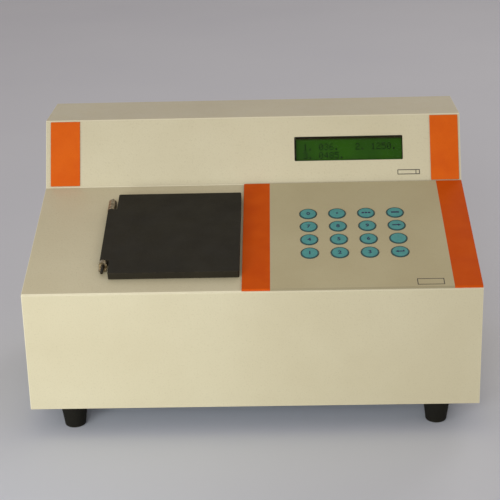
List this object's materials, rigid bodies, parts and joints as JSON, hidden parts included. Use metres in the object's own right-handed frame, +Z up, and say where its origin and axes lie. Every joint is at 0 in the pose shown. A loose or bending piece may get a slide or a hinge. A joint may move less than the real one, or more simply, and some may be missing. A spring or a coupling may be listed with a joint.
{
  "type": "colorimeter",
  "caption": "Bench colorimeter: sloped-deck sheet case with a hinged sample lid over a cell holder, membrane keys, a display window and a rear mains inlet.",
  "frame": {"origin": "on the table, under the middle of the whole object", "axes": "+Z up, +X to the user's right, +Y to the back; the front panel faces -Y"},
  "size_m": [0.3, 0.2026, 0.1818],
  "materials": {
    "case_paint": "cream powder coat, fine texture",
    "zinc_sheet": "zinc plated sheet",
    "foot_rubber": "moulded matt rubber",
    "lid_black": "black satin coat",
    "seal_foam": "closed cell foam",
    "hinge_nickel": "dull nickel plate",
    "membrane_film": "printed polyester circuit sheet",
    "overlay_film": "satin printed polyester film",
    "key_teal": "embossed satin film",
    "stripe_orange": "vinyl film",
    "clear_window": "clear acrylic",
    "display_board": "board with a black bezel and green display",
    "well_black": "matt black coat",
    "holder_black": "black anodised",
    "bench_aluminium": "milled",
    "motor_steel": "dark plated can",
    "lens_glass": "polished",
    "filter_glass": "coated coloured glass",
    "circuit_board": "solder mask with parts",
    "transformer_iron": "varnished laminations",
    "black_plastic": "moulded"
  },
  "bodies": {
    "case": {"cover": "case_paint", "rear_panel": "case_paint", "base_plate": "zinc_sheet", "foot_front_left": "foot_rubber", "foot_front_right": "foot_rubber", "foot_rear_left": "foot_rubber", "foot_rear_right": "foot_rubber", "hinge_bracket_front": "hinge_nickel", "hinge_bracket_rear": "hinge_nickel", "hinge_pin": "hinge_nickel", "keypad_membrane": "membrane_film", "keypad_overlay": "overlay_film", "display_window": "clear_window", "display_module": "display_board", "display_stripe_left": "stripe_orange", "display_stripe_right": "stripe_orange", "chamber_well": "well_black", "cell_holder": "holder_black", "optical_bench": "bench_aluminium", "motor_bracket": "zinc_sheet", "wheel_motor": "motor_steel", "lens_mount": "holder_black", "condenser_lens": "lens_glass", "lamp_holder": "bench_aluminium", "lamp": "lens_glass", "detector_housing": "holder_black", "main_board": "circuit_board", "transformer": "transformer_iron", "mains_inlet": "black_plastic", "fuse_holder": "black_plastic", "power_switch": "black_plastic"},
    "lid": {"lid": "lid_black", "lid_seal": "seal_foam"},
    "filter_wheel": {"filter_wheel": "bench_aluminium", "filter_1": "filter_glass", "filter_2": "filter_glass", "filter_3": "filter_glass", "filter_4": "filter_glass", "filter_5": "filter_glass", "filter_6": "filter_glass", "filter_7": "filter_glass", "filter_8": "filter_glass"},
    "power_rocker": {"power_rocker": "black_plastic"},
    "fuse_cap": {"fuse_cap": "black_plastic"},
    "key_row1_col1": {"key_row1_col1": "key_teal"},
    "key_row1_col2": {"key_row1_col2": "key_teal"},
    "key_row1_col3": {"key_row1_col3": "key_teal"},
    "key_row1_col4": {"key_row1_col4": "key_teal"},
    "key_row2_col1": {"key_row2_col1": "key_teal"},
    "key_row2_col2": {"key_row2_col2": "key_teal"},
    "key_row2_col3": {"key_row2_col3": "key_teal"},
    "key_row2_col4": {"key_row2_col4": "key_teal"},
    "key_row3_col1": {"key_row3_col1": "key_teal"},
    "key_row3_col2": {"key_row3_col2": "key_teal"},
    "key_row3_col3": {"key_row3_col3": "key_teal"},
    "key_row3_col4": {"key_row3_col4": "key_teal"},
    "key_row4_col1": {"key_row4_col1": "key_teal"},
    "key_row4_col2": {"key_row4_col2": "key_teal"},
    "key_row4_col3": {"key_row4_col3": "key_teal"},
    "key_row4_col4": {"key_row4_col4": "key_teal"}
  },
  "joints": [
    {"name": "lid_hinge", "type": "hinge", "parent": "case", "child": "lid", "pos_m": [-0.0988, -0.04462, 0.12136], "axis": [0, -0.9563, -0.2924], "range_deg": [0, 105]},
    {"name": "filter_wheel_turn", "type": "hinge", "parent": "case", "child": "filter_wheel", "pos_m": [-0.0905, -0.01759, 0.0735], "axis": [1, 0, 0], "continuous": true},
    {"name": "power_rocker_tilt", "type": "hinge", "parent": "case", "child": "power_rocker", "pos_m": [0.044, 0.09099, 0.0485], "axis": [1, 0, 0], "range_deg": [0, 20]},
    {"name": "fuse_cap_turn", "type": "hinge", "parent": "case", "child": "fuse_cap", "pos_m": [0.074, 0.09329, 0.0485], "axis": [0, 1, 0], "range_deg": [0, 90]},
    {"name": "press_row1_col1", "type": "slide", "parent": "case", "child": "key_row1_col1", "axis": [0, 0.2924, -0.9563], "range_m": [0, 0.0003], "stiffness_N_per_m": 600},
    {"name": "press_row1_col2", "type": "slide", "parent": "case", "child": "key_row1_col2", "axis": [0, 0.2924, -0.9563], "range_m": [0, 0.0003], "stiffness_N_per_m": 600},
    {"name": "press_row1_col3", "type": "slide", "parent": "case", "child": "key_row1_col3", "axis": [0, 0.2924, -0.9563], "range_m": [0, 0.0003], "stiffness_N_per_m": 600},
    {"name": "press_row1_col4", "type": "slide", "parent": "case", "child": "key_row1_col4", "axis": [0, 0.2924, -0.9563], "range_m": [0, 0.0003], "stiffness_N_per_m": 600},
    {"name": "press_row2_col1", "type": "slide", "parent": "case", "child": "key_row2_col1", "axis": [0, 0.2924, -0.9563], "range_m": [0, 0.0003], "stiffness_N_per_m": 600},
    {"name": "press_row2_col2", "type": "slide", "parent": "case", "child": "key_row2_col2", "axis": [0, 0.2924, -0.9563], "range_m": [0, 0.0003], "stiffness_N_per_m": 600},
    {"name": "press_row2_col3", "type": "slide", "parent": "case", "child": "key_row2_col3", "axis": [0, 0.2924, -0.9563], "range_m": [0, 0.0003], "stiffness_N_per_m": 600},
    {"name": "press_row2_col4", "type": "slide", "parent": "case", "child": "key_row2_col4", "axis": [0, 0.2924, -0.9563], "range_m": [0, 0.0003], "stiffness_N_per_m": 600},
    {"name": "press_row3_col1", "type": "slide", "parent": "case", "child": "key_row3_col1", "axis": [0, 0.2924, -0.9563], "range_m": [0, 0.0003], "stiffness_N_per_m": 600},
    {"name": "press_row3_col2", "type": "slide", "parent": "case", "child": "key_row3_col2", "axis": [0, 0.2924, -0.9563], "range_m": [0, 0.0003], "stiffness_N_per_m": 600},
    {"name": "press_row3_col3", "type": "slide", "parent": "case", "child": "key_row3_col3", "axis": [0, 0.2924, -0.9563], "range_m": [0, 0.0003], "stiffness_N_per_m": 600},
    {"name": "press_row3_col4", "type": "slide", "parent": "case", "child": "key_row3_col4", "axis": [0, 0.2924, -0.9563], "range_m": [0, 0.0003], "stiffness_N_per_m": 600},
    {"name": "press_row4_col1", "type": "slide", "parent": "case", "child": "key_row4_col1", "axis": [0, 0.2924, -0.9563], "range_m": [0, 0.0003], "stiffness_N_per_m": 600},
    {"name": "press_row4_col2", "type": "slide", "parent": "case", "child": "key_row4_col2", "axis": [0, 0.2924, -0.9563], "range_m": [0, 0.0003], "stiffness_N_per_m": 600},
    {"name": "press_row4_col3", "type": "slide", "parent": "case", "child": "key_row4_col3", "axis": [0, 0.2924, -0.9563], "range_m": [0, 0.0003], "stiffness_N_per_m": 600},
    {"name": "press_row4_col4", "type": "slide", "parent": "case", "child": "key_row4_col4", "axis": [0, 0.2924, -0.9563], "range_m": [0, 0.0003], "stiffness_N_per_m": 600}
  ]
}
